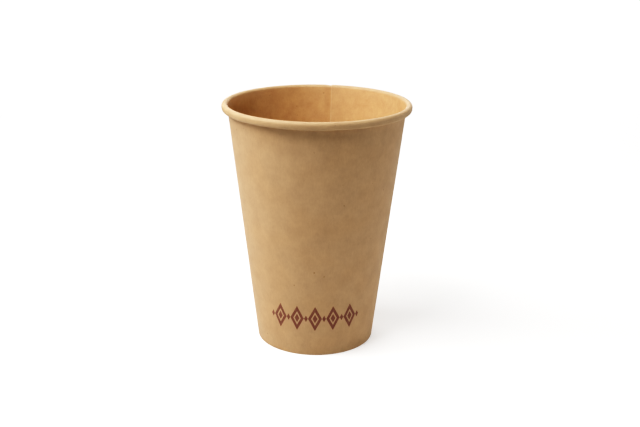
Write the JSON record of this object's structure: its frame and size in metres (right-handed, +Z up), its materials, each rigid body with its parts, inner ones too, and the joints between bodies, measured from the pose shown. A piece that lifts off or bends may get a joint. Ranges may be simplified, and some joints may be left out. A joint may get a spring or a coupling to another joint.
{
  "type": "paper coffee cup",
  "caption": "Tapered single-wall paper cup for hot drinks, with a rolled rim, a lapped side seam at the back and a recessed base held in a folded foot.",
  "frame": {"origin": "on the table, at the middle of the foot", "axes": "+Z up the cup's axis to the mouth, -Y to the front, with the side seam at the back, 11 degrees from +Y towards +X"},
  "size_m": [0.09, 0.09, 0.118],
  "materials": {
    "wall_board": "uncoated brown board outside, thin smooth lining inside",
    "base_board": "brown board with a thin smooth lining on top"
  },
  "bodies": {
    "root": {"side_wall": "wall_board", "base": "base_board"}
  },
  "joints": []
}
